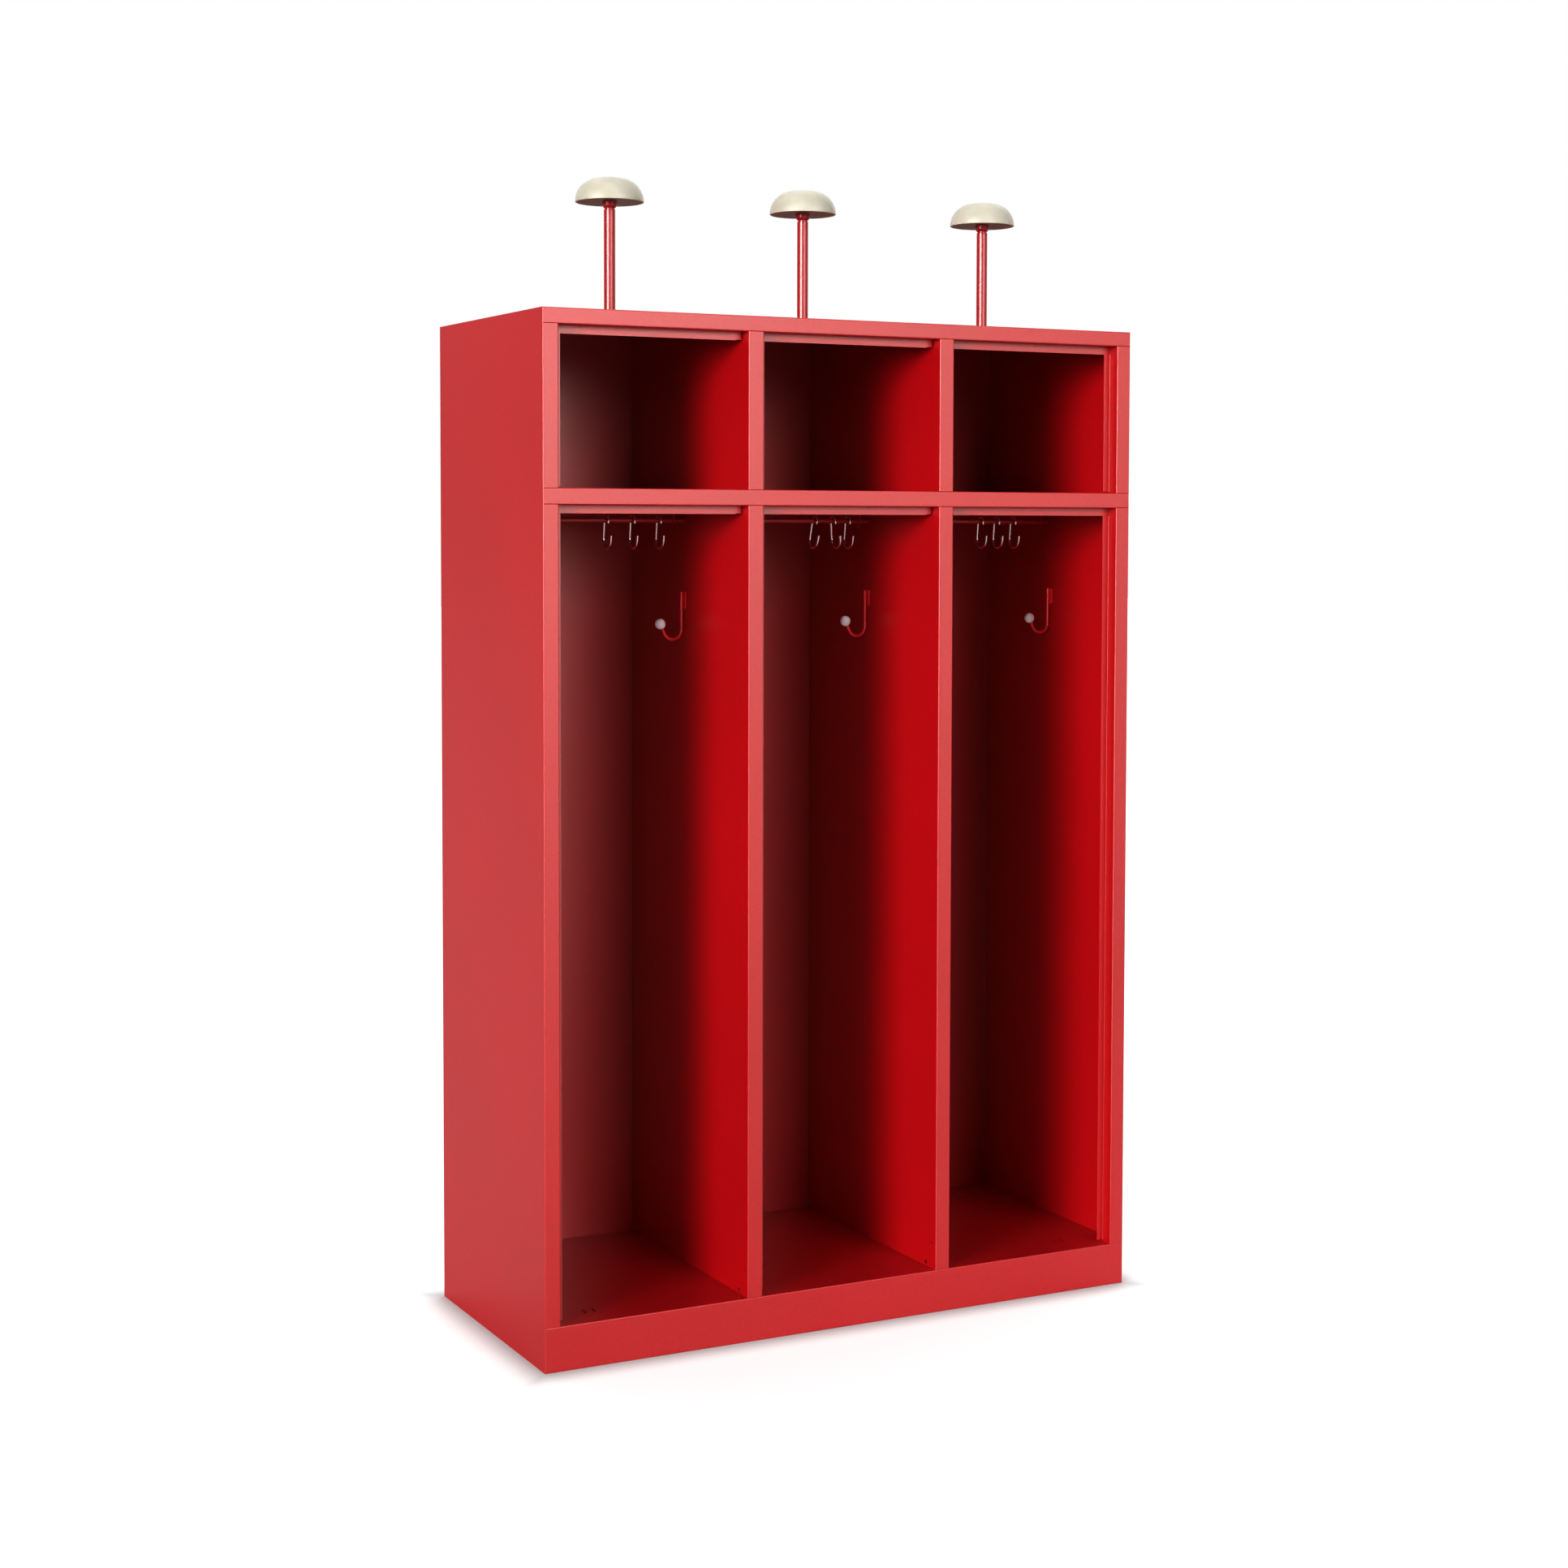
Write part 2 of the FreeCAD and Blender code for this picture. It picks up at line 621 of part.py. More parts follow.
def all_parts():
    """Every node's name and shape."""
    yield "left_side_panel", end_panel()
    yield "right_side_panel", mirrored(end_panel())
    for side, left in zip(("left", "right"), DIVIDERS):
        yield f"lower_divider_{side}", lower_divider(left)
        yield f"upper_divider_{side}", upper_divider(left)
    yield "top_panel", top_panel()
    yield "shelf_panel", shelf_panel()
    yield "base_tray", base_tray()
    yield "hanger_rivets", hanger_rivets()
    yield "divider_rivets", divider_rivets()
    yield "post_foot_screws", foot_screws()
    for bay, name in enumerate(BAYS):
        yield f"back_panel_{name}", back_panel(bay)
        yield f"hanging_rail_{name}", hanging_rail(name)
        yield f"rail_hanger_{name}_1", rail_hanger(name, -1)
        yield f"rail_hanger_{name}_2", rail_hanger(name, 1)
        for k, (place, lean) in enumerate(HOOKS[name], 1):
            yield f"slide_hook_{name}_{k}", slide_hook(LEFT + place, lean)
        yield f"wall_hook_plate_{name}", wall_hook_plate(bay)
        yield f"wall_hook_rod_{name}", wall_hook_rod(bay)
        yield f"wall_hook_ball_{name}", wall_hook_ball(bay)
        yield f"post_foot_{name}", post_foot(POST_X[bay])
        yield f"post_tube_{name}", post_tube(POST_X[bay])
        yield f"post_collar_{name}", post_collar(POST_X[bay])
        yield f"helmet_dome_{name}", helmet_dome(POST_X[bay])


os.makedirs("parts", exist_ok=True)
for node, shape in all_parts():
    print(node, shape.ShapeType, len(shape.Solids), shape.isValid(), round(shape.Volume, 1))
    shape.exportStep(f"parts/{node}.step")
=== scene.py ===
import math

import bpy
import numpy as np
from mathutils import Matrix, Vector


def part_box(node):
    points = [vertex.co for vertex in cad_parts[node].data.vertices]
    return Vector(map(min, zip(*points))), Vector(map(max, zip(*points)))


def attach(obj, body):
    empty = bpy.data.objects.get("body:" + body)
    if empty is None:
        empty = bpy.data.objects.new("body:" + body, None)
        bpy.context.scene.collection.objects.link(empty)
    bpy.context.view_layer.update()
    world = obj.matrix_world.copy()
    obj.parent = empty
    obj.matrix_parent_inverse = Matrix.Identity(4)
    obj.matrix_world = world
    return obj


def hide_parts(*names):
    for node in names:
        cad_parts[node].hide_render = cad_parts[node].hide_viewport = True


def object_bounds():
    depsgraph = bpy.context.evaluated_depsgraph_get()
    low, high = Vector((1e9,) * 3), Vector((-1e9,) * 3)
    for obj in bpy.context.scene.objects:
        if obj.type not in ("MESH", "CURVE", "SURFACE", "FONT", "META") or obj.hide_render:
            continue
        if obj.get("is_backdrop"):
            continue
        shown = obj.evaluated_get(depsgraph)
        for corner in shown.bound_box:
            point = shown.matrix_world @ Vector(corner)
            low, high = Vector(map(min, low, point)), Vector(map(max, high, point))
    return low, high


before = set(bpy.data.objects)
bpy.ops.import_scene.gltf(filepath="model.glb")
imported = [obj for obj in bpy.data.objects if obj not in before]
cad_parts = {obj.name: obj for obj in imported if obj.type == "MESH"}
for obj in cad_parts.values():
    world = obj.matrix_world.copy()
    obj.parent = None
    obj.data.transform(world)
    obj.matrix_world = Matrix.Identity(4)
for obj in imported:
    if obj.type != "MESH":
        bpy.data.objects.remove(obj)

cad_low, cad_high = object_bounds()


# ---- Studio ----
# A paper floor in a dim room, lit by soft sources far away: a tall soft box to the left, two pale
# screens in front, a ceiling, and pale walls at the right and behind. The camera alone sees the room
# as plain white, and the paper glowing white, but for a painted shadow along the locker's foot.

class Wire:
    """The value of one node socket. Sums and products of wires add Math nodes to its tree."""

    def __init__(self, tree, socket=None):
        self.tree = tree
        self.socket = socket

    def node(self, kind, settings, sockets, output=0):
        """Adds a node of a kind, with its settings first and then its sockets' values or links."""
        made = self.tree.nodes.new("ShaderNode" + kind)
        for name, value in settings.items():
            setattr(made, name, value)
        for name, value in sockets.items():
            if isinstance(value, Wire):
                self.tree.links.new(value.socket, made.inputs[name])
            else:
                made.inputs[name].default_value = value
        return Wire(self.tree, made.outputs[output] if made.outputs else None)

    def math(self, operation, *values):
        return self.node("Math", {"operation": operation}, dict(enumerate(values)))

    def __add__(self, other):
        return self.math("ADD", self, other)

    def __sub__(self, other):
        return self.math("SUBTRACT", self, other)

    def __rsub__(self, other):
        return self.math("SUBTRACT", other, self)

    def __mul__(self, other):
        return self.math("MULTIPLY", self, other)

    def magnitude(self):
        return self.math("ABSOLUTE", self)

    def between(self, start, end):
        """0 where the value is at start and 1 where it is at end, with a soft step in between."""
        step = {"From Min": start, "From Max": end}
        return self.node("MapRange", {"interpolation_type": "SMOOTHSTEP"}, {"Value": self, **step})

    def blend_of(self, first, second):
        """The colour first where the value is 0 and second where it is 1."""
        return self.node("Mix", {"data_type": "RGBA"}, {0: self, 6: first, 7: second}, output=2)


def heading(to_the_left, above):
    """Unit vector from the locker's front: degrees to its left, and degrees above the horizon."""
    turn, rise = math.radians(to_the_left), math.radians(above)
    return (-math.sin(turn) * math.cos(rise), -math.cos(turn) * math.cos(rise), math.sin(rise))


room = bpy.data.worlds.new("white_room")
room.use_nodes = True
room.node_tree.nodes.clear()
air = Wire(room.node_tree)
outwards = air.node("TexCoord", {}, {})
brightness = 0.06
# for each source: degrees to the left and above the horizon, the angles from its middle at which it
# starts to fade and is gone, and its strength
for to_the_left, above, full, faded, strength in (
    (61, 8, 5, 13, 41.0),  # soft box that lights the bays' right walls near the front
    (59, 12, 10, 24, 2.2),  # its diffuser's glow
    (-10, 14, 6, 17, 10.0),  # pale screen in front
    (-27, 5, 6, 15, 3.0),  # a weaker one low down beside it
    (0, 90, 20, 50, 1.0),  # ceiling
    (165, 30, 15, 45, 0.3),  # pale wall behind the locker, to its left
    (-150, 30, 25, 55, 1.1),  # and the brighter part of it, to its right
    (-115, 15, 25, 60, 0.8),  # wall to the right
):
    towards = heading(to_the_left, above)
    nearness = air.node("VectorMath", {"operation": "DOT_PRODUCT"}, {0: outwards, 1: towards}, 1)
    edge = [math.cos(math.radians(a)) for a in (faded, full)]
    brightness = nearness.between(*edge) * strength + brightness
seen = air.node("LightPath", {}, {}, output="Is Camera Ray")
shown = seen * (1 - brightness) + brightness
glow = air.node("Background", {}, {"Color": (1, 1, 1, 1), "Strength": shown})
air.node("OutputWorld", {}, {"Surface": glow})
bpy.context.scene.world = room
bpy.context.scene.view_settings.view_transform = "Standard"
bpy.context.scene.view_settings.gamma = 0.8

lens = bpy.data.cameras.new("studio_camera")
lens.sensor_width = 36.0
lens.lens = 59.055
lens.shift_x = 0.0040
lens.shift_y = -0.0799
camera = bpy.data.objects.new("studio_camera", lens)
camera.location = (-2.2034, -4.2468, 1.4322)
camera.rotation_euler = [math.radians(a) for a in (87.107, -0.111, -27.189)]
bpy.context.collection.objects.link(camera)
bpy.context.scene.camera = camera


def put_mesh(name, points, faces):
    """A mesh object at the origin, from an (n, 3) array of points and lists of corner numbers."""
    mesh = bpy.data.meshes.new(name)
    mesh.from_pydata(points.tolist(), [], faces)
    mesh.polygons.foreach_set("use_smooth", np.ones(len(faces), bool))
    mesh.update()
    made = bpy.data.objects.new(name, mesh)
    bpy.context.collection.objects.link(made)
    return made


FLOOR_REACH = 40.0
floor = put_mesh(
    "studio_floor",
    np.array([(-1, -1, 0), (1, -1, 0), (1, 1, 0), (-1, 1, 0)], float) * FLOOR_REACH,
    [(0, 1, 2, 3)],
)
paper = bpy.data.materials.new("white_paper")
paper.use_nodes = True
paper.node_tree.nodes.clear()
sheet = Wire(paper.node_tree)
pulp = sheet.node("TexNoise", {}, {"Scale": 3.0})
PAINTED_SHADOW_START, PAINTED_SHADOW_END = -0.03, 0.07
spot = sheet.node("TexCoord", {}, {}, output="Object")
past_sides, past_front = [
    spot.node("SeparateXYZ", {}, {"Vector": spot}, output=axis).magnitude() - half
    for axis, half in (("X", cad_high[0]), ("Y", cad_high[1]))
]
# 0 under the locker's footprint and 1 outside, with a soft step along its edge: a narrow painted shadow
clear = past_sides.math("MAXIMUM", past_sides, past_front).between(PAINTED_SHADOW_START, PAINTED_SHADOW_END)
# the paper glows white for the camera alone, so it throws back less light on the locker than white paper
# would; the glow fades out under and along the locker as a painted shadow
white_glow_and_painted_shadow = clear * sheet.node("LightPath", {}, {}, output="Is Camera Ray")
matt = sheet.node(
    "BsdfPrincipled",
    {},
    {
        "Base Color": pulp.blend_of((0.44, 0.44, 0.44, 1), (0.46, 0.46, 0.46, 1)),
        "Roughness": 0.9,
        # the camera-only glow, faded to a painted shadow along the locker's edge
        "Emission Color": white_glow_and_painted_shadow.blend_of((0, 0, 0, 1), (0.66, 0.66, 0.66, 1)),
        "Emission Strength": 1.0,
    },
)
sheet.node("OutputMaterial", {}, {"Surface": matt})
floor.data.materials.append(paper)
floor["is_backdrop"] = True


# ---- Sheet-metal carcass ----
# Side panels, dividers, shelf, top, tray and backs: one millimetre steel sheet, cut, folded and
# spot welded, then powder coated red all over in one go, which leaves a fine pimpled skin.

def finish(name):
    """A new node material, with the wire of its Object coordinates to start from."""
    made = bpy.data.materials.new(name)
    made.use_nodes = True
    made.node_tree.nodes.clear()
    place = Wire(made.node_tree).node("TexCoord", {}, {}, output="Object")
    return made, place


def grain(place, scale, detail, stretch=(1, 1, 1)):
    """Cloudy value from 0 to 1 with scale spots to the metre, longer along an axis that is stretched."""
    drawn = place.node("Mapping", {}, {"Vector": place, "Scale": tuple(1 / s for s in stretch)})
    return place.node("TexNoise", {}, {"Vector": drawn, "Scale": scale, "Detail": detail})


def skin_of(place, **sockets):
    """Principled surface on the material's output. Names are its sockets', with _ for each space."""
    made = {name.replace("_", " "): value for name, value in sockets.items()}
    surface = place.node("BsdfPrincipled", {}, made)
    place.node("OutputMaterial", {}, {"Surface": surface})


def pimples(height, depth, strength):
    """Normal of a surface whose height value is this many metres deep, at this share of its slopes."""
    bump = {"Height": height, "Distance": depth, "Strength": strength}
    return height.node("Bump", {}, bump, output="Normal")


DEEP_REDS = (0.37, 0.0002, 0.0036, 1), (0.46, 0.0004, 0.0054, 1)
RUBBED_RED = (0.36, 0.012, 0.014, 1)


def red_powder(name, reds=DEEP_REDS, wear=None):
    """Red powder coat: pimples about a millimetre wide on a slower swell, and a slightly uneven red.
    A wear function gives 1 where it is rubbed thin: darker there, and smoother."""
    made, place = finish(name)
    pimple = grain(place, 1100, 1.5)
    swell = grain(place, 430, 1.5)
    cloud = grain(place, 2.3, 3.0)
    shade = cloud.between(0.3, 0.7) * 0.35 + swell.between(0.3, 0.7) * 0.65
    colour = shade.blend_of(*reds)
    rough = pimple.between(0.25, 0.75) * 0.10 + cloud * 0.06 + 0.27
    if wear is not None:
        rubbed = wear(place)
        colour = rubbed.blend_of(colour, RUBBED_RED)
        rough = rough - rubbed * 0.12
    skin_of(
        place,
        Base_Color=colour,
        Roughness=rough,
        IOR=1.52,
        Specular_IOR_Level=1.0,
        Specular_Tint=(1, 0.97, 0.92, 1),
        Normal=pimples(pimple * 0.5 + swell, 0.00016, 0.9),
    )
    return made


def give(names, material):
    """Puts a material on CAD nodes, in every slot they have."""
    for name in names:
        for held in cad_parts[name].material_slots:
            held.material = material


CARCASS = "carcass"
BAYS = ("left", "middle", "right")
sheet_red = red_powder("red_powder_coat_sheet")
give(
    ["left_side_panel", "right_side_panel", "top_panel", "shelf_panel", "base_tray"]
    + [f"{height}_divider_{side}" for height in ("lower", "upper") for side in ("left", "right")]
    + [f"back_panel_{bay}" for bay in BAYS],
    sheet_red,
)


# ---- Hanging rails ----
# One round steel bar in each bay, 10 mm thick, with its ends lightly chamfered. It is pushed through
# its two hangers and coated with them; sliding hooks rub the coat dark and smooth along its top.

def skin_over(rings, first_tip=None, last_tip=None, loop=False):
    """(points, faces) of a closed skin over an (n, m, 3) array of n rings of m points.

    Four neighbours (i, j), (i, j+1), (i+1, j+1), (i+1, j) make a face, with j counted round the ring.
    A tip closes an end with a fan of triangles; loop joins the last ring to the first instead.
    """
    n, m = rings.shape[:2]
    row, place = np.meshgrid(np.arange(n if loop else n - 1), np.arange(m), indexing="ij")
    after, above = (place + 1) % m, (row + 1) % n
    corners = [row * m + place, row * m + after, above * m + after, above * m + place]
    faces = np.stack(corners, -1).reshape(-1, 4).tolist()
    points = [rings.reshape(-1, 3)]
    here, beside = np.arange(m), (np.arange(m) + 1) % m
    last = (n - 1) * m
    for tip, first, second in ((first_tip, beside, here), (last_tip, last + here, last + beside)):
        if tip is not None:
            number = np.full(m, sum(len(p) for p in points))
            faces += np.stack([number, first, second], -1).tolist()
            points.append(np.array([tip], float))
    return np.concatenate(points), faces


def softened(corners, cut, steps=5):
    """An outline with its inner corners rounded.

    Each corner c is left at a, a distance cut before it, and met again at b, the same distance after
    it, along (1 - t)^2 a + 2 t (1 - t) c + t^2 b. One more point stands a little outside a and b, so
    that the shading of a flat stretch stays flat.
    """
    outline = np.array(corners, float)
    middle = outline[1:-1]
    reach = np.broadcast_to(np.array(cut, float), len(middle))[:, None]
    before, after = outline[:-2] - middle, outline[2:] - middle
    before = before / np.linalg.norm(before, axis=1)[:, None] * reach
    after = after / np.linalg.norm(after, axis=1)[:, None] * reach
    t = np.linspace(0, 1, steps)[None, :, None]
    a, c, b = middle + before, middle, middle + after
    curve = (1 - t) ** 2 * a[:, None] + 2 * t * (1 - t) * c[:, None] + t**2 * b[:, None]
    outside = 1.35
    rounds = [(middle + outside * before)[:, None], curve, (middle + outside * after)[:, None]]
    return np.concatenate([outline[:1], np.concatenate(rounds, 1).reshape(-1, 2), outline[-1:]])


# two directions across a turned solid, and then the one of its axis
UPRIGHT = np.eye(3)
ALONG_X = np.array([(0, 1, 0), (0, 0, 1), (1, 0, 0)], float)


def turned(outline, centre, axes, around):
    """A turned solid: an outline of (radius, height) from its foot on the axis to its top on the axis.

    The point at angle p is centre + radius (cos p, sin p) on the first two axes + height on the third.
    """
    outline = np.array(outline, float)
    radius, height = outline[1:-1, 0, None], outline[1:-1, 1, None]
    p = np.linspace(0, 2 * math.pi, around, endpoint=False)[None, :]
    local = np.stack([radius * np.cos(p), radius * np.sin(p), height + 0 * p], -1)
    foot, top = outline[0, 1] * axes[2], outline[-1, 1] * axes[2]
    centre = np.array(centre, float)
    return skin_over(local @ axes + centre, foot + centre, top + centre)


def new_piece(name, skin, material, body, slot, *nodes):
    """Puts a skin in the scene, to stand for CAD nodes and ride on their body."""
    made = put_mesh(name, *skin)
    made.data.materials.append(material)
    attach(made, body)
    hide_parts(*nodes)


def node_box(node):
    """Low and high corners of a CAD node, as arrays."""
    return [np.array(corner, float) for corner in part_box(node)]


RAIL_CHAMFER = 0.0006
RUB_STARTS, RUB_FULL = 0.0036, 0.0049
rail_low, rail_high = node_box("hanging_rail_left")
rail_radius = (rail_high[2] - rail_low[2]) / 2
rail_y, rail_z = (rail_low[1:] + rail_high[1:]) / 2


def rubbed_top(place):
    """1 where the hooks' wires slide, along the top of the rail, broken up by long streaks."""
    up = place.node("SeparateXYZ", {}, {"Vector": place}, output="Z")
    streak = grain(place, 500, 2.0, stretch=(30, 1, 1))
    return up.between(rail_z + RUB_STARTS, rail_z + RUB_FULL) * streak.between(0.42, 0.62)


rail_red = red_powder("red_powder_coat_rail", wear=rubbed_top)
for bay in BAYS:
    low, high = node_box(f"hanging_rail_{bay}")
    length = high[0] - low[0]
    bar = [(0, 0), (rail_radius, 0), (rail_radius, length), (0, length)]
    new_piece(
        f"{bay}_bay_rail",
        turned(softened(bar, RAIL_CHAMFER), (low[0], rail_y, rail_z), ALONG_X, 64),
        rail_red,
        CARCASS,
        "red_powder_coat",
        f"hanging_rail_{bay}",
    )


# ---- Rail hangers and their rivets ----
# Angle brackets of two millimetre steel, round at the foot, coated red like the sheet. A blind rivet
# holds each one under the shelf, and one more closes the foot of each divider at the back.

hanger_red = red_powder("red_powder_coat_hanger")
give([f"rail_hanger_{bay}_{end}" for bay in BAYS for end in (1, 2)], hanger_red)


def zinc(name):
    """Zinc plate: grey metal with a cool and a warm cloud, dull in fine spots."""
    made, place = finish(name)
    cloud, speck = grain(place, 400, 3.0), grain(place, 2500, 2.0)
    skin_of(
        place,
        Base_Color=cloud.between(0.35, 0.65).blend_of((0.46, 0.47, 0.49, 1), (0.60, 0.59, 0.56, 1)),
        Metallic=1.0,
        Roughness=speck.between(0.3, 0.7) * 0.18 + 0.24,
        Normal=pimples(speck, 0.00002, 0.5),
    )
    return made


def together(skins):
    """Several skins as one, each one's corner numbers counted on from the last's."""
    points, faces = [], []
    for more_points, more_faces in skins:
        start = sum(len(p) for p in points)
        faces += [[start + corner for corner in face] for face in more_faces]
        points.append(more_points)
    return np.concatenate(points), faces


RIVET_SHANK, RIVET_HEAD, RIVET_HEIGHT, RIVET_PIT = 0.0016, 0.0032, 0.0012, 0.0009
RIVET_SOFT = 0.00012
SEAT = 0.00001  # how far a head stands off the sheet it is pressed on
HEAD_DOWN = np.array([(1, 0, 0), (0, -1, 0), (0, 0, -1)], float)
HEAD_LEFT = np.array([(0, 0, 1), (0, 1, 0), (-1, 0, 0)], float)


def blind_rivet(at, axes, grip):
    """Turned rivet: shank through the grip, low domed head, and the pit where its pin broke off."""
    shape = [
        (0, -grip),
        (RIVET_SHANK, -grip),
        (RIVET_SHANK, SEAT),
        (RIVET_HEAD, SEAT),
        (RIVET_HEAD * 0.9, RIVET_HEIGHT * 0.6),
        (RIVET_HEAD * 0.45, RIVET_HEIGHT),
        (RIVET_PIT, RIVET_HEIGHT * 0.96),
        (RIVET_PIT * 0.9, RIVET_HEIGHT * 0.35),
        (0, RIVET_HEIGHT * 0.3),
    ]
    return turned(softened(shape, RIVET_SOFT, 4), at, axes, 32)


HANGER_SHEET, HANGER_RIVET_OUT = 0.002, 0.012
HANGER_GRIP, FOOT_GRIP = 0.003, 0.001
hanger_heads = []
for bay in BAYS:
    for end, side in ((1, -1), (2, 1)):
        low, high = node_box(f"rail_hanger_{bay}_{end}")
        plate_x = high[0] - HANGER_SHEET / 2 if side < 0 else low[0] + HANGER_SHEET / 2
        at = (plate_x + side * HANGER_RIVET_OUT, rail_y, high[2] - HANGER_SHEET)
        hanger_heads.append(blind_rivet(at, HEAD_DOWN, HANGER_GRIP))
rivet_zinc = zinc("zinc_rivet")
new_piece(
    "rail_hanger_rivets",
    together(hanger_heads),
    rivet_zinc,
    CARCASS,
    "zinc_fasteners",
    "hanger_rivets",
)

low, high = node_box("divider_rivets")
foot_y, foot_z = (low[1:] + high[1:]) / 2
divider_heads = []
for side in ("left", "right"):
    wall_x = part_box(f"lower_divider_{side}")[0][0]
    divider_heads.append(blind_rivet((wall_x, foot_y, foot_z), HEAD_LEFT, FOOT_GRIP))
new_piece(
    "divider_foot_rivets",
    together(divider_heads),
    rivet_zinc,
    CARCASS,
    "zinc_fasteners",
    "divider_rivets",
)


# ---- Sliding hooks ----
# Three on each rail: five millimetre spring wire bent over the rail and up into an open hook, its
# ends deburred, then chrome plated. Each one hangs loose and slides along the rail.

def wire_line(start, heading_at_start, runs, spacing=0.0009):
    """Flat (u, v) line of runs (length, turn): the running sum of short steps, each step's heading
    being the heading at the start plus the running sum of the turns up to the middle of that step."""
    lengths, turns = np.array(runs, float).T
    counts = np.maximum(2, np.round(lengths / spacing)).astype(int)
    step, turn = np.repeat(lengths / counts, counts), np.repeat(turns / counts, counts)
    way = heading_at_start + np.cumsum(turn) - turn / 2
    steps = step[:, None] * np.stack([np.cos(way), np.sin(way)], 1)
    return np.concatenate([[start], np.array(start) + np.cumsum(steps, 0)])


def wire_skin(line, flat_normal, radius, edge, around=28):
    """Round wire along a flat line of points: rings p + r (cos a n + sin a b), with b the line's flat
    normal and n = b x t. At both ends r falls off as the wire turns in through a quarter round."""
    along = np.gradient(line, axis=0)
    along /= np.linalg.norm(along, axis=1)[:, None]
    fall = np.linspace(math.pi / 2, 0, 6)[:-1, None]
    lead = line[0] - along[0] * edge * np.sin(fall)
    tail = line[-1] + along[-1] * edge * np.sin(fall[::-1])
    thin = radius - edge * (1 - np.cos(fall))
    centres = np.concatenate([lead, line, tail])
    radii = np.concatenate([thin, np.full((len(line), 1), radius), thin[::-1]])[:, :, None]
    first, last = np.repeat(along[:1], len(fall), 0), np.repeat(along[-1:], len(fall), 0)
    t = np.concatenate([first, along, last])
    b = np.broadcast_to(np.array(flat_normal, float), t.shape)
    n = np.cross(b, t)
    a = np.linspace(0, 2 * math.pi, around, endpoint=False)[None, :, None]
    rings = centres[:, None] + radii * (np.cos(a) * n[:, None] + np.sin(a) * b[:, None])
    return skin_over(rings, centres[0], centres[-1])


def turn_about(points, pivot, axis, degrees):
    """Points turned about a line through pivot along the x axis (0) or the y axis (1)."""
    c, s = math.cos(math.radians(degrees)), math.sin(math.radians(degrees))
    turns = {0: [(1, 0, 0), (0, c, -s), (0, s, c)], 1: [(c, 0, s), (0, 1, 0), (-s, 0, c)]}
    return (points - pivot) @ np.array(turns[axis]).T + pivot


def chrome(name):
    """Chrome plate over drawn wire: bright cool metal, finely scratched, a little dull in patches."""
    made, place = finish(name)
    haze, scratch = grain(place, 160, 3.0), grain(place, 1900, 2.0, stretch=(1, 1, 5))
    skin_of(
        place,
        Base_Color=haze.between(0.3, 0.7).blend_of((0.86, 0.89, 0.93, 1), (0.96, 0.97, 0.98, 1)),
        Metallic=1.0,
        Roughness=haze.between(0.35, 0.7) * 0.10 + scratch.between(0.4, 0.8) * 0.05 + 0.09,
        Normal=pimples(scratch, 0.00001, 0.35),
    )
    return made


WIRE_RADIUS, WIRE_EDGE = 0.0025, 0.0010
HOOK_CLEARANCE, HOOK_OVER, HOOK_NOSE = 0.0003, 0.0091, 0.0040
HOOK_SHANK, HOOK_BEND, HOOK_TIP = 0.0320, 0.0168, 0.0083
HOOK_TILT = 7.0
# each hook's distance from the middle of the locker, and how many degrees it leans along its rail
HOOKS = {
    "left": ((-0.3627, 0), (-0.3110, 0), (-0.2586, 0)),
    "middle": ((0.0620, 6), (0.1000, -7), (0.1320, 0)),
    "right": ((0.4252, 0), (0.4622, 0), (0.4997, 0)),
}
hook_middle = rail_z + rail_radius + HOOK_CLEARANCE + WIRE_RADIUS - HOOK_OVER
hook_line = wire_line(
    (-HOOK_OVER, WIRE_EDGE - HOOK_NOSE),
    math.pi / 2,
    [
        (HOOK_NOSE - WIRE_EDGE, 0),
        (math.pi * HOOK_OVER, -math.pi),
        (HOOK_SHANK, 0),
        (math.pi * HOOK_BEND, -math.pi),
        (HOOK_TIP - WIRE_EDGE, 0),
    ],
)
hook_chrome = chrome("chrome_hook_wire")
for bay in BAYS:
    for number, (x, lean) in enumerate(HOOKS[bay], 1):
        pivot = np.array((x, rail_y, hook_middle))
        rail_top = np.array((x, rail_y, rail_z + rail_radius))
        line = np.stack([0 * hook_line[:, 0], hook_line[:, 0], hook_line[:, 1]], 1) + pivot
        points, faces = wire_skin(line, (1, 0, 0), WIRE_RADIUS, WIRE_EDGE)
        points = turn_about(turn_about(points, pivot, 0, HOOK_TILT), rail_top, 1, lean)
        new_piece(
            f"{bay}_bay_hook_{number}",
            (points, faces),
            hook_chrome,
            f"{bay}_hook_{number}",
            "chrome_wire",
            f"slide_hook_{bay}_{number}",
        )


# ---- Wall hooks ----
# One on the right wall of each bay: a six millimetre rod bent up into a hook, welded on a small
# plate and coated with the carcass, with a glossy white plastic ball pressed on its end.

def rounded_plate(low, high, corner, edge):
    """Flat plate across x: rings round a (y, z) rectangle with quarter-round corners, drawn in by
    edge (1 - cos e) while x moves edge (1 - sin e), at both faces, and one ring more inside each."""
    half = (high - low) / 2
    middle = (high + low) / 2
    a = np.linspace(0, 2 * math.pi, 48, endpoint=False) + math.pi / 48
    side_y, side_z = np.sign(np.cos(a)), np.sign(np.sin(a))
    e = np.linspace(math.pi / 2, 0, 6)
    inset = np.concatenate([[3 * edge], edge * (1 - np.cos(e))])
    depth = np.concatenate([[0], edge * (1 - np.sin(e))])
    inset = np.concatenate([inset, inset[::-1]])[:, None]
    x = np.concatenate([low[0] + depth, high[0] - depth[::-1]])[:, None]
    y = side_y * (half[1] - corner) + (corner - inset) * np.cos(a) + middle[1]
    z = side_z * (half[2] - corner) + (corner - inset) * np.sin(a) + middle[2]
    rings = np.stack([x + 0 * y, y, z], -1)
    return skin_over(rings, (low[0], middle[1], middle[2]), (high[0], middle[1], middle[2]))


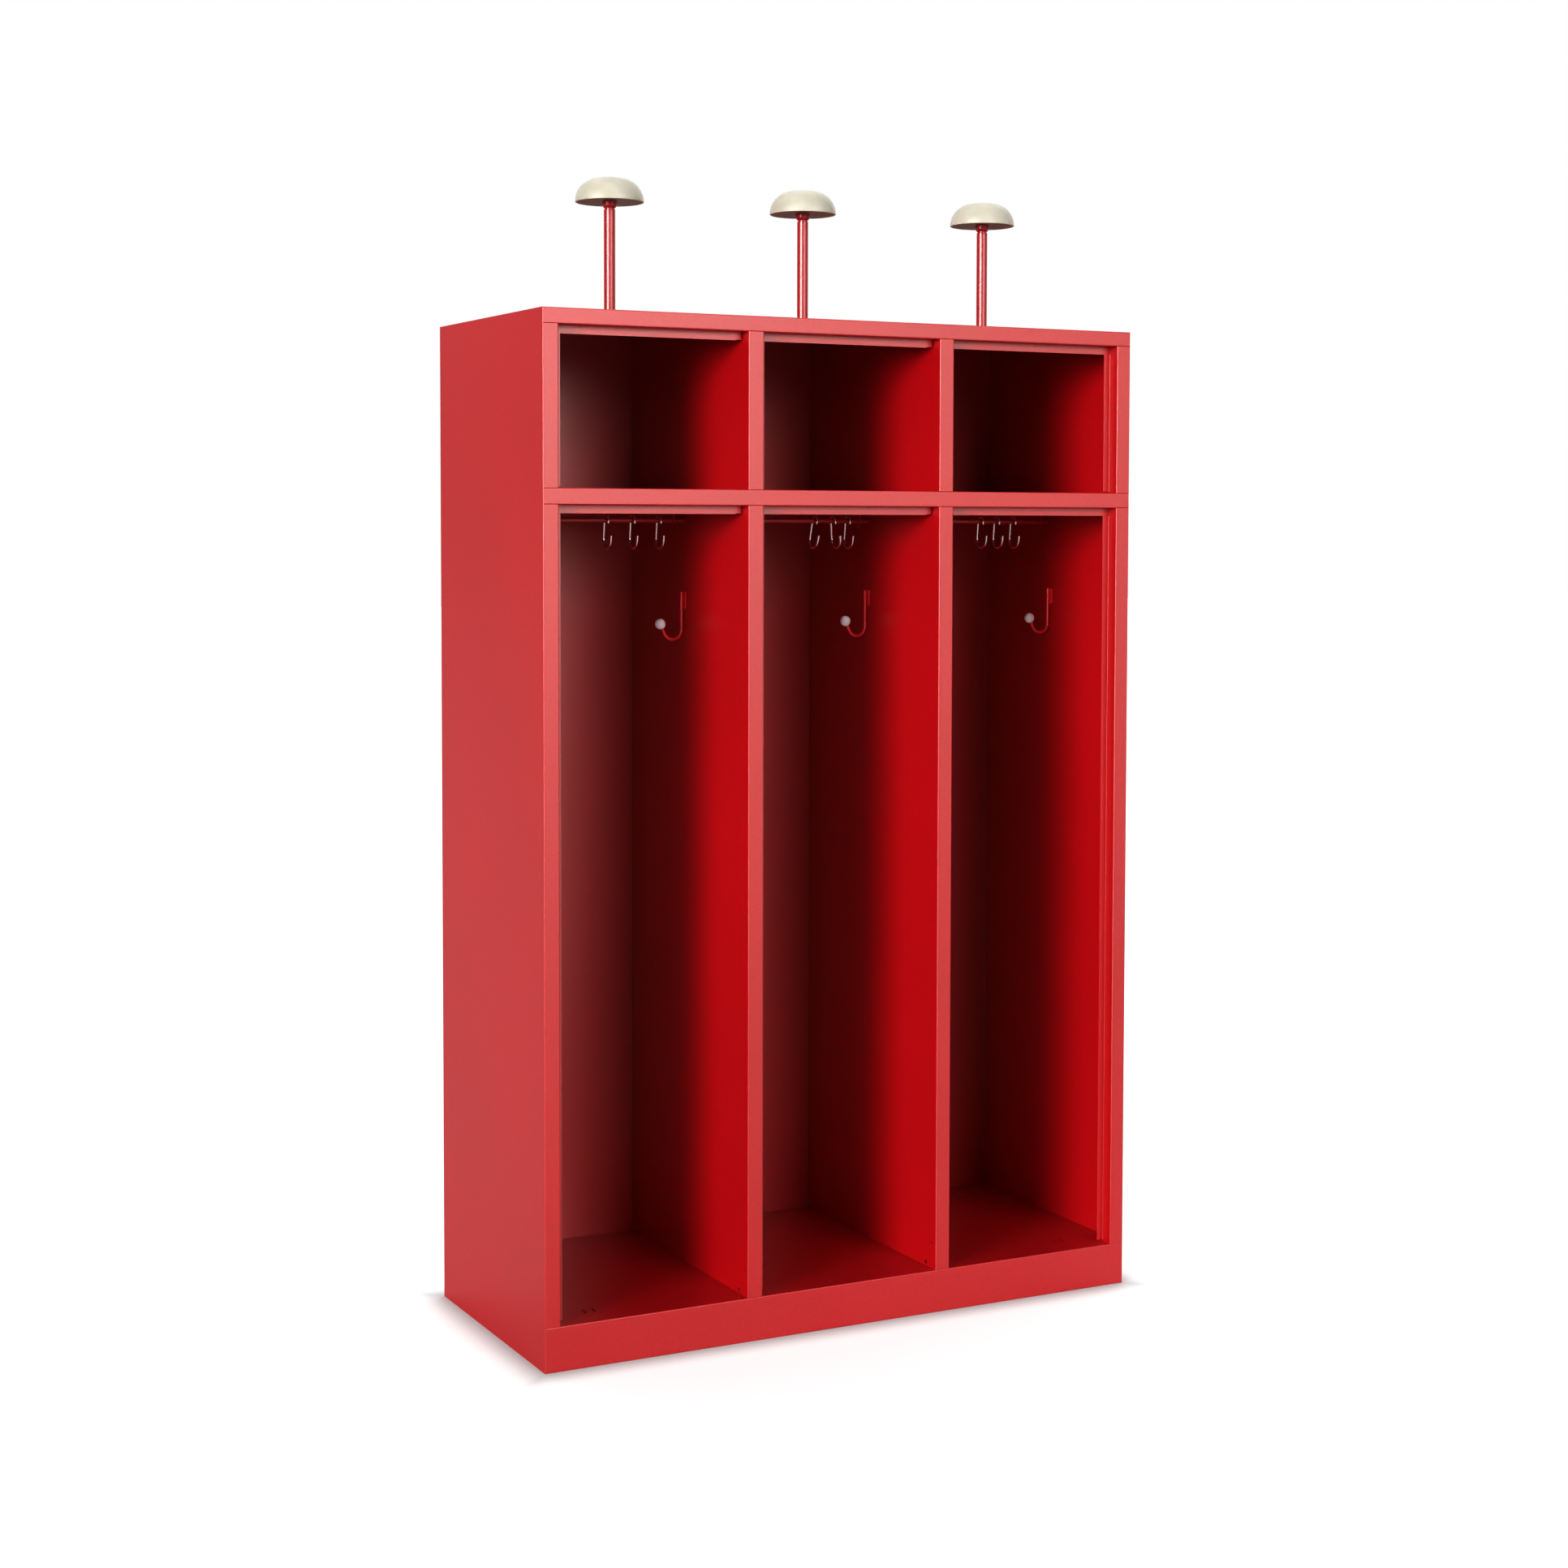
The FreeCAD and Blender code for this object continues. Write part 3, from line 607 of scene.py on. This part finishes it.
def glossy_ball(name):
    """White gloss plastic: faint cool clouds in the white, and a polish that is a little uneven."""
    made, place = finish(name)
    cloud, smear = grain(place, 90, 2.0), grain(place, 700, 2.0)
    skin_of(
        place,
        Base_Color=cloud.between(0.3, 0.7).blend_of((0.84, 0.86, 0.90, 1), (0.94, 0.95, 0.96, 1)),
        Roughness=smear.between(0.3, 0.7) * 0.08 + 0.20,
        Normal=pimples(smear, 0.00001, 0.4),
    )
    return made


PEG_RADIUS, PEG_EDGE, PEG_WELD = 0.0030, 0.0008, 0.0003
PEG_BEND, PEG_BEND_HEIGHT = 0.0180, 1.2480
PEG_TURN, PEG_REACH = math.radians(155), 0.0198
PLATE_CORNER, PLATE_EDGE = 0.0022, 0.0004
BALL_SEAM, SEAM_ANGLE = 0.00012, 0.03
# the carcass's own coat, drawn much lighter on the wall hooks: painted light, lifting rods and plates
# off the shaded walls
PAINTED_LIGHT_REDS = (0.72, 0.002, 0.012, 1), (0.85, 0.004, 0.018, 1)
peg_red = red_powder("red_powder_coat_wall_hook_painted_light", PAINTED_LIGHT_REDS)
ball_white = glossy_ball("white_ball_plastic")
for bay in BAYS:
    low, high = node_box(f"wall_hook_plate_{bay}")
    new_piece(
        f"{bay}_bay_wall_plate",
        rounded_plate(low, high, PLATE_CORNER, PLATE_EDGE),
        peg_red,
        CARCASS,
        "red_powder_coat",
        f"wall_hook_plate_{bay}",
    )
    rod_x = low[0] - PEG_RADIUS + PEG_WELD
    peg_y = (low[1] + high[1]) / 2
    drop = high[2] - PEG_BEND_HEIGHT
    rod_line = wire_line(
        (rod_x, high[2] - PEG_EDGE),
        -math.pi / 2,
        [(drop - PEG_EDGE, 0), (PEG_BEND * PEG_TURN, -PEG_TURN), (PEG_REACH - PEG_EDGE, 0)],
    )
    line = np.stack([rod_line[:, 0], 0 * rod_line[:, 0] + peg_y, rod_line[:, 1]], 1)
    new_piece(
        f"{bay}_bay_wall_rod",
        wire_skin(line, (0, -1, 0), PEG_RADIUS, PEG_EDGE),
        peg_red,
        CARCASS,
        "red_powder_coat",
        f"wall_hook_rod_{bay}",
    )
    low, high = node_box(f"wall_hook_ball_{bay}")
    ball_radius = (high[2] - low[2]) / 2 - BALL_SEAM
    # the ball sits square on the rod, so its seam runs round the rod's direction at its end
    rise = line[-1] - line[-8]
    rise /= np.linalg.norm(rise)
    beside = np.array((0.0, 1.0, 0.0))
    a = np.linspace(-math.pi / 2, math.pi / 2, 49)
    seam = BALL_SEAM * np.exp(-((a / SEAM_ANGLE) ** 2))
    ball_outline = (ball_radius + seam)[:, None] * np.stack([np.cos(a), np.sin(a)], 1)
    new_piece(
        f"{bay}_bay_wall_ball",
        turned(ball_outline, (low + high) / 2, np.array([np.cross(beside, rise), beside, rise]), 64),
        ball_white,
        CARCASS,
        "white_ball",
        f"wall_hook_ball_{bay}",
    )


# ---- Helmet posts ----
# A 20 mm steel tube over the middle of each bay, in a turned foot held on the top panel by three
# pan-head screws. A turned plug with a wide head closes the tube; all but the screws is coated red.

SCREW_RADIUS, SCREW_HEIGHT, SCREW_RING = 0.0032, 0.0012, 0.0216
SCREW_SHANK = 0.003
CROSS_LONG, CROSS_WIDE, CROSS_DEEP = 0.0017, 0.0004, 0.0007


def soft_step(value, start, end):
    """0 before start and 1 after end, along 3 s^2 - 2 s^3 in between."""
    s = np.clip((value - start) / (end - start), 0, 1)
    return s * s * (3 - 2 * s)


def pan_screw(at, spin):
    """Pan head: height h (0.35 + 0.65 (1 - (r / R)^2)^(1/2)) over the flange at radius r, less a cross-
    shaped pocket with soft sides. The rings run from the plain shank's foot, out under the head and
    back over its top."""
    out = np.linspace(1, 0.03, 26)
    radius = np.concatenate([[0.5, 0.5, 1.0], out])[:, None] * SCREW_RADIUS
    a = np.linspace(0, 2 * math.pi, 72, endpoint=False)[None, :]
    u, v = radius * np.cos(a), radius * np.sin(a)
    short, long = np.minimum(abs(u), abs(v)), np.maximum(abs(u), abs(v))
    cross = 1 - soft_step(short, CROSS_WIDE, CROSS_WIDE * 1.5)
    cross = cross * (1 - soft_step(long, CROSS_LONG, CROSS_LONG * 1.1))
    crown = SCREW_HEIGHT * (0.35 + 0.65 * np.sqrt(1 - (radius / SCREW_RADIUS) ** 2 * 0.999))
    height = crown - CROSS_DEEP * cross
    height[:3] = np.array([(-SCREW_SHANK,), (SEAT,), (SEAT,)])
    c, s = math.cos(spin), math.sin(spin)
    local = np.stack([u * c - v * s, u * s + v * c, height], -1)
    at = np.array(at, float)
    return skin_over(local + at, at - (0, 0, SCREW_SHANK), at + (0, 0, SCREW_HEIGHT - CROSS_DEEP))


FOOT_RADIUS, FOOT_SHEET, SOCKET_RADIUS, SOCKET_HIGH = 0.030, 0.003, 0.0135, 0.016
TUBE_RADIUS, TUBE_WALL, FIT = 0.010, 0.0015, 0.0001
COLLAR_NECK, COLLAR_CONE, COLLAR_HEAD, STUD_RADIUS, STUD_HIGH = 0.0086, 0.0045, 0.0085, 0.004, 0.014
# cuts at the corners of the three outlines, from foot to top
FOOT_CUTS = (0.0004, 0.0009, 0.0022, 0.0010, 0.0004, 0.0002)
TUBE_CUTS = (0.0002, 0.0002, 0.0010, 0.0002)
COLLAR_CUTS = (0.0003, 0.00004, 0.00004, 0.0006, 0.0005, 0.0009, 0.0008, 0.0003, 0.0005)
NECK_RISE = 0.0004
BORE_PLAY = 0.00005
LOOP_START, LOOP_END = 0.020, 0.021  # how far up its bore the tube's outline starts and ends
bore = TUBE_RADIUS - TUBE_WALL
tube_bore = bore + BORE_PLAY
# the posts' red coat drawn darker than the sheet's: painted shade
PAINTED_SHADE_REDS = (0.28, 0.0002, 0.0040, 1), (0.35, 0.0004, 0.0060, 1)
post_red = red_powder("red_powder_coat_post_painted_shade", PAINTED_SHADE_REDS)
screws = []
for bay, first_spin in zip(BAYS, (0.3, 1.1, 0.7)):
    low, high = node_box(f"post_foot_{bay}")
    axis = np.array([*(low[:2] + high[:2]) / 2, 0])
    base = low[2]
    foot = [
        (0, base),
        (FOOT_RADIUS, base),
        (FOOT_RADIUS, base + FOOT_SHEET),
        (SOCKET_RADIUS, base + FOOT_SHEET),
        (SOCKET_RADIUS, base + SOCKET_HIGH),
        (TUBE_RADIUS + FIT, base + SOCKET_HIGH),
        (TUBE_RADIUS + FIT, base + FOOT_SHEET),
        (0, base + FOOT_SHEET),
    ]
    new_piece(
        f"{bay}_post_foot",
        turned(softened(foot, FOOT_CUTS), axis, UPRIGHT, 96),
        post_red,
        CARCASS,
        "red_powder_coat",
        f"post_foot_{bay}",
    )
    for third in range(3):
        way = math.radians(90 + 120 * third)
        at = axis + (SCREW_RING * math.cos(way), SCREW_RING * math.sin(way), base + FOOT_SHEET)
        screws.append(pan_screw(at, first_spin + third * 1.9))

    # the tube's outline is a loop: down its bore, up its outside, and down the bore till it meets
    low, high = node_box(f"post_tube_{bay}")
    tube = [
        (tube_bore, low[2] + LOOP_START),
        (tube_bore, low[2]),
        (TUBE_RADIUS, low[2]),
        (TUBE_RADIUS, high[2]),
        (tube_bore, high[2]),
        (tube_bore, low[2] + LOOP_END),
    ]
    outline = softened(tube, TUBE_CUTS)
    radius, height = outline[:, :1], outline[:, 1:]
    a = np.linspace(0, 2 * math.pi, 72, endpoint=False)[None, :]
    rings = np.stack([radius * np.cos(a), radius * np.sin(a), height + 0 * a], -1)
    new_piece(
        f"{bay}_post_tube",
        skin_over(rings + axis, loop=True),
        post_red,
        CARCASS,
        "red_powder_coat",
        f"post_tube_{bay}",
    )

    tube_top = high[2]
    low, high = node_box(f"post_collar_{bay}")
    collar_top = high[2] - STUD_HIGH
    collar_radius = (high[0] - low[0]) / 2
    head_foot = collar_top - COLLAR_HEAD
    cone_foot = head_foot - COLLAR_CONE
    collar = [
        (0, low[2]),
        (bore, low[2]),
        (bore, tube_top - NECK_RISE),
        (COLLAR_NECK, tube_top),
        (COLLAR_NECK, cone_foot),
        (TUBE_RADIUS, cone_foot),
        (collar_radius, head_foot),
        (collar_radius, collar_top),
        (STUD_RADIUS, collar_top),
        (STUD_RADIUS, collar_top + STUD_HIGH),
        (0, collar_top + STUD_HIGH),
    ]
    new_piece(
        f"{bay}_post_collar",
        turned(softened(collar, COLLAR_CUTS), axis, UPRIGHT, 96),
        post_red,
        CARCASS,
        "red_powder_coat",
        f"post_collar_{bay}",
    )
new_piece(
    "post_foot_pan_screws",
    together(screws),
    zinc("zinc_screw"),
    CARCASS,
    "zinc_fasteners",
    "post_foot_screws",
)


# ---- Helmet domes ----
# Hollow caps that a helmet hangs on, each moulded in one piece in cream plastic: a thin shell with
# a round lip and, in its middle, a hub with twelve ribs that is pressed on the plug's stud.

DOME_SHOULDER, DOME_WALL, HUB_RADIUS, HUB_RIB, HUB_RIBS = 0.0405, 0.0025, 0.009, 0.003, 12
RIB_HALF, RIB_SOFT = math.radians(4.6), math.radians(1.3)


def dome_outline(radius, rim, top, inset, count):
    """Crown and shoulder of the dome moved in by inset, from the rim up to the axis: a circle round
    (radius - shoulder, rim) up to where the larger circle of the crown meets it without a corner."""
    offset, rise = radius - DOME_SHOULDER, top - rim
    crown = (offset**2 + rise**2 - DOME_SHOULDER**2) / (2 * (rise - DOME_SHOULDER))
    meet = math.atan2(rim - (top - crown), offset)
    low = np.linspace(0, meet, count)[:, None]
    high = np.linspace(meet, math.pi / 2, count // 3)[1:, None]
    shoulder = np.concatenate([np.cos(low), np.sin(low)], 1) * (DOME_SHOULDER - inset) + (offset, rim)
    across = np.concatenate([np.cos(high), np.sin(high)], 1) * (crown - inset) + (0, top - crown)
    return np.concatenate([shoulder, across])


def dome_skin(axis, radius, rim, top, foot):
    """Dome and hub as one skin over (station, angle): the stations run down the stud's bore, out
    under the hub, up its side, out under the shell, round the lip and back over the outside. On the
    hub's side the radius is HUB_RADIUS + HUB_RIB times a soft pulse that comes twelve times round."""
    a = np.linspace(0, 2 * math.pi, HUB_RIBS * 24, endpoint=False)
    pitch = 2 * math.pi / HUB_RIBS
    off_rib = abs((a + pitch / 2) % pitch - pitch / 2)
    rib = 1 - soft_step(off_rib, RIB_HALF - RIB_SOFT, RIB_HALF + RIB_SOFT)
    under = dome_outline(radius, rim, top, DOME_WALL, 36)[::-1]
    under = under[under[:, 0] > HUB_RADIUS + HUB_RIB + 0.002]
    outside = dome_outline(radius, rim, top, 0, 42)
    lip = np.linspace(math.pi, 2 * math.pi, 13)[1:-1, None]
    lip = np.concatenate([np.cos(lip), np.sin(lip)], 1) * DOME_WALL / 2 + (radius - DOME_WALL / 2, rim)
    hole, deep = STUD_RADIUS + FIT, foot + STUD_HIGH + 0.0003
    hub_top = under[0, 1] + 0.0002
    # radius, height, and how much of the ribs' depth stands out there
    hub = np.array(
        [
            (hole - 0.0005, deep, 0),
            (hole, deep - 0.0005, 0),
            (hole, foot + 0.0008, 0),
            (hole + 0.0006, foot + FIT, 0),
            (HUB_RADIUS - 0.0016, foot + FIT, 0),
            (HUB_RADIUS - 0.0006, foot + FIT, 0.9),
            (HUB_RADIUS, foot + 0.0007, 1),
            (HUB_RADIUS, foot + 0.0014, 1),
            (HUB_RADIUS, (foot + hub_top) / 2, 1),
            (HUB_RADIUS, hub_top - 0.0020, 1),
            (HUB_RADIUS + 0.0003, hub_top - 0.0008, 1),
            (HUB_RADIUS + 0.0010, hub_top, 0.85),
        ]
    )
    plain = np.concatenate([under, lip, outside[:-1]])
    stations = np.concatenate([hub, np.concatenate([plain, 0 * plain[:, :1]], 1)])
    r = stations[:, :1] + HUB_RIB * stations[:, 2:] * rib
    rings = np.stack([r * np.cos(a), r * np.sin(a), stations[:, 1:2] + 0 * r], -1) + axis
    return skin_over(rings, axis + (0, 0, deep), axis + (0, 0, top))


def cream_plastic(name):
    """Cream moulded plastic: slow warm and cool clouds, a fine satin grain."""
    made, place = finish(name)
    cloud, satin = grain(place, 28, 3.0), grain(place, 1400, 2.0)
    cream = cloud.between(0.3, 0.7).blend_of((0.41, 0.385, 0.31, 1), (0.47, 0.445, 0.37, 1))
    skin_of(
        place,
        Base_Color=cream,
        Roughness=satin.between(0.3, 0.7) * 0.10 + cloud * 0.08 + 0.34,
        Normal=pimples(satin, 0.00003, 0.5),
    )
    return made


dome_cream = cream_plastic("cream_dome_plastic")
for bay in BAYS:
    low, high = node_box(f"helmet_dome_{bay}")
    axis = np.array([*(low[:2] + high[:2]) / 2, 0])
    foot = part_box(f"post_collar_{bay}")[1][2] - STUD_HIGH
    new_piece(
        f"{bay}_helmet_dome",
        dome_skin(axis, (high[0] - low[0]) / 2, low[2] + DOME_WALL / 2, high[2], foot),
        dome_cream,
        CARCASS,
        "cream_plastic",
        f"helmet_dome_{bay}",
    )


# ---- Size of the finished model ----
# The low and high corners, in metres, of the CAD frame's box and of the box of the model as it is
# shown. The panels are the CAD's own and the domes are as high as theirs, so the boxes are the same.

low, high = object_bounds()
